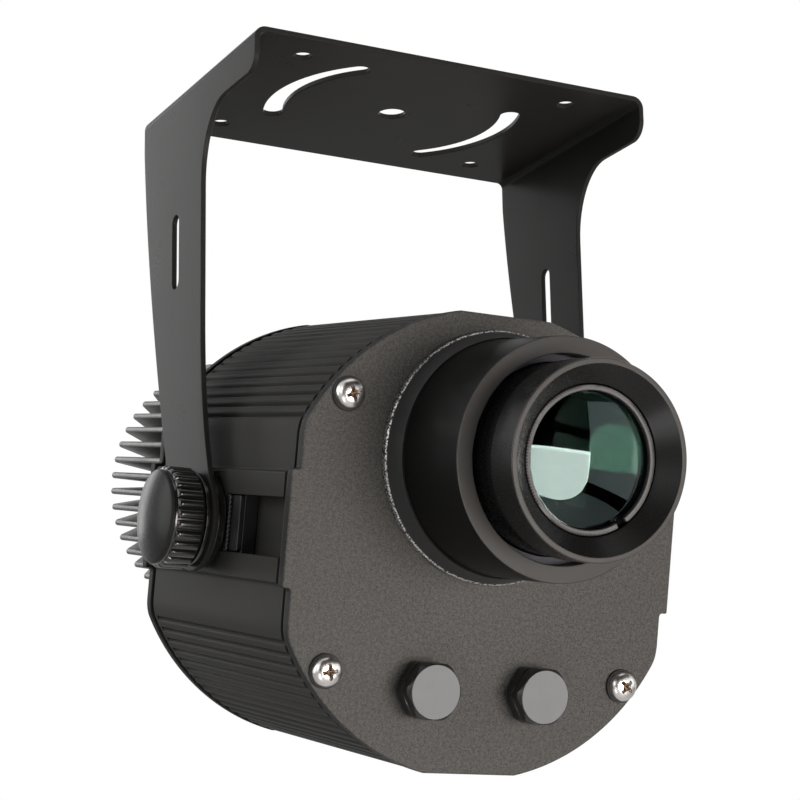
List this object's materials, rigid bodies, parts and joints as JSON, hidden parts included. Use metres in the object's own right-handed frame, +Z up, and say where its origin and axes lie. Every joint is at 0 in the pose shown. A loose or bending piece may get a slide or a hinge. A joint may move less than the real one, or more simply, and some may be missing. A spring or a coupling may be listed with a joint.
{
  "type": "gobo projector",
  "caption": "Outdoor gobo projector with a ribbed housing, focusing lens barrel and rear heat sink, hung in a U bracket on two clamp knobs.",
  "frame": {"origin": "centre of the hole in the middle of the hanging bracket's top face", "axes": "+Z up, out of the bracket's top face; the lens faces -Y, nose down by 12.3 degrees; +X to the right of someone who faces the lens"},
  "size_m": [0.2016, 0.3159, 0.2628],
  "materials": {
    "bracket_paint": "satin black powder coat",
    "black_plastic": "moulded black",
    "grey_cap": "smooth warm grey",
    "bright_steel": "nickel plated",
    "dark_steel": "blackened",
    "housing_aluminium": "dark grey, painted",
    "plate_texture": "speckled dark grey texture paint",
    "black_rubber": "matt",
    "black_anodised": "satin black anodised",
    "lens_glass": "coated, polished",
    "sink_aluminium": "bare extruded",
    "led_white": "white solder mask",
    "led_yellow": "phosphor",
    "brass": "machined",
    "gear_plastic": "moulded natural",
    "motor_steel": "plated",
    "circuit_board": "green solder mask"
  },
  "bodies": {
    "bracket": {"hanging_bracket": "bracket_paint"},
    "left_knob_carrier": {"left_knob_washer": "black_plastic"},
    "left_knob": {"left_clamp_knob": "black_plastic", "left_knob_cap": "grey_cap", "left_clamp_stud": "bright_steel"},
    "right_knob_carrier": {"right_knob_washer": "black_plastic"},
    "right_knob": {"right_clamp_knob": "black_plastic", "right_knob_cap": "grey_cap", "right_clamp_stud": "bright_steel"},
    "trunnion": {"left_slide_block": "dark_steel", "left_lock_plate": "bright_steel", "left_spacer_disc": "black_plastic", "right_slide_block": "dark_steel", "right_lock_plate": "bright_steel", "right_spacer_disc": "black_plastic"},
    "head": {"housing_extrusion": "housing_aluminium", "front_plate": "plate_texture", "front_gasket": "black_rubber", "rear_plate": "plate_texture", "rear_gasket": "black_rubber", "front_screw_upper_left": "bright_steel", "front_screw_upper_right": "bright_steel", "front_screw_lower_left": "bright_steel", "front_screw_lower_right": "bright_steel", "rear_screw_upper_left": "bright_steel", "rear_screw_upper_right": "bright_steel", "rear_screw_lower_left": "bright_steel", "rear_screw_lower_right": "bright_steel", "lens_collar": "black_anodised", "heat_sink": "sink_aluminium", "led_board": "led_white", "led_emitter": "led_yellow", "gobo_stage_plate": "dark_steel", "gobo_bearing": "brass", "gobo_motor": "motor_steel", "condenser_tube": "black_anodised", "front_condenser_lens": "lens_glass", "rear_condenser_lens": "lens_glass", "driver_tray": "black_plastic", "driver_board": "circuit_board", "cable_gland": "black_plastic", "vent_plug": "black_plastic", "left_control_body": "motor_steel", "right_control_body": "motor_steel"},
    "focus_travel": {"focus_seal_ring": "black_rubber"},
    "focus_barrel": {"focus_barrel": "black_anodised", "lens_retaining_ring": "bright_steel", "front_lens": "lens_glass", "lens_spacer_tube": "black_anodised", "rear_lens": "lens_glass"},
    "gobo": {"gobo_holder_gear": "gear_plastic", "gobo_disc": "bright_steel", "gobo_clip_ring": "bright_steel"},
    "gobo_motor_rotor": {"motor_pinion": "brass"},
    "left_control": {"left_control_shaft": "brass"},
    "right_control": {"right_control_shaft": "brass"},
    "left_cover_travel": {"left_cover_seal": "black_rubber"},
    "left_cover": {"left_control_cover": "black_plastic"},
    "right_cover_travel": {"right_cover_seal": "black_rubber"},
    "right_cover": {"right_control_cover": "black_plastic"}
  },
  "joints": [
    {"name": "head_tilt", "type": "hinge", "parent": "bracket", "child": "trunnion", "pos_m": [0, 0.0011, -0.17], "axis": [1, 0, 0], "range_deg": [-57, 32.5]},
    {"name": "balance_slide", "type": "slide", "parent": "trunnion", "child": "head", "axis": [0, 0.977, 0.213], "range_m": [-0.025, 0.025]},
    {"name": "focus_travel", "type": "slide", "parent": "head", "child": "focus_travel", "axis": [0, -0.977, -0.213], "range_m": [-0.0061, 0.0061]},
    {"name": "focus_turn", "type": "hinge", "parent": "focus_travel", "child": "focus_barrel", "pos_m": [0, -0.07254, -0.1552], "axis": [0, -0.977, -0.213], "range_deg": [-270, 270]},
    {"name": "gobo_spin", "type": "hinge", "parent": "head", "child": "gobo", "pos_m": [0, -0.03737, -0.14753], "axis": [0, -0.977, -0.213], "continuous": true},
    {"name": "motor_spin", "type": "hinge", "parent": "head", "child": "gobo_motor_rotor", "pos_m": [0, -0.0277, -0.19189], "axis": [0, -0.977, -0.213], "continuous": true},
    {"name": "left_knob_travel", "type": "slide", "parent": "bracket", "child": "left_knob_carrier", "axis": [-1, 0, 0], "range_m": [0, 0.0019]},
    {"name": "left_knob_turn", "type": "hinge", "parent": "left_knob_carrier", "child": "left_knob", "pos_m": [-0.0827, 0.0011, -0.17], "axis": [-1, 0, 0], "range_deg": [0, 540]},
    {"name": "left_control_turn", "type": "hinge", "parent": "head", "child": "left_control", "pos_m": [-0.0216, -0.05519, -0.23478], "axis": [0, -0.977, -0.213], "range_deg": [-150, 150]},
    {"name": "left_cover_travel", "type": "slide", "parent": "head", "child": "left_cover_travel", "axis": [0, -0.977, -0.213], "range_m": [0, 0.0046]},
    {"name": "left_cover_turn", "type": "hinge", "parent": "left_cover_travel", "child": "left_cover", "pos_m": [-0.0216, -0.05519, -0.23478], "axis": [0, -0.977, -0.213], "range_deg": [0, 1080]},
    {"name": "right_knob_travel", "type": "slide", "parent": "bracket", "child": "right_knob_carrier", "axis": [1, 0, 0], "range_m": [0, 0.0019]},
    {"name": "right_knob_turn", "type": "hinge", "parent": "right_knob_carrier", "child": "right_knob", "pos_m": [0.0827, 0.0011, -0.17], "axis": [1, 0, 0], "range_deg": [0, 540]},
    {"name": "right_control_turn", "type": "hinge", "parent": "head", "child": "right_control", "pos_m": [0.0216, -0.05519, -0.23478], "axis": [0, -0.977, -0.213], "range_deg": [-150, 150]},
    {"name": "right_cover_travel", "type": "slide", "parent": "head", "child": "right_cover_travel", "axis": [0, -0.977, -0.213], "range_m": [0, 0.0046]},
    {"name": "right_cover_turn", "type": "hinge", "parent": "right_cover_travel", "child": "right_cover", "pos_m": [0.0216, -0.05519, -0.23478], "axis": [0, -0.977, -0.213], "range_deg": [0, 1080]}
  ],
  "couplings": [
    {"joint": "focus_travel", "follows": "focus_turn", "m_per_rad": 0.0012732},
    {"joint": "motor_spin", "follows": "gobo_spin", "ratio": -4},
    {"joint": "left_knob_travel", "follows": "left_knob_turn", "m_per_rad": 0.00019894},
    {"joint": "left_cover_travel", "follows": "left_cover_turn", "m_per_rad": 0.00023873},
    {"joint": "right_knob_travel", "follows": "right_knob_turn", "m_per_rad": 0.00019894},
    {"joint": "right_cover_travel", "follows": "right_cover_turn", "m_per_rad": 0.00023873}
  ]
}
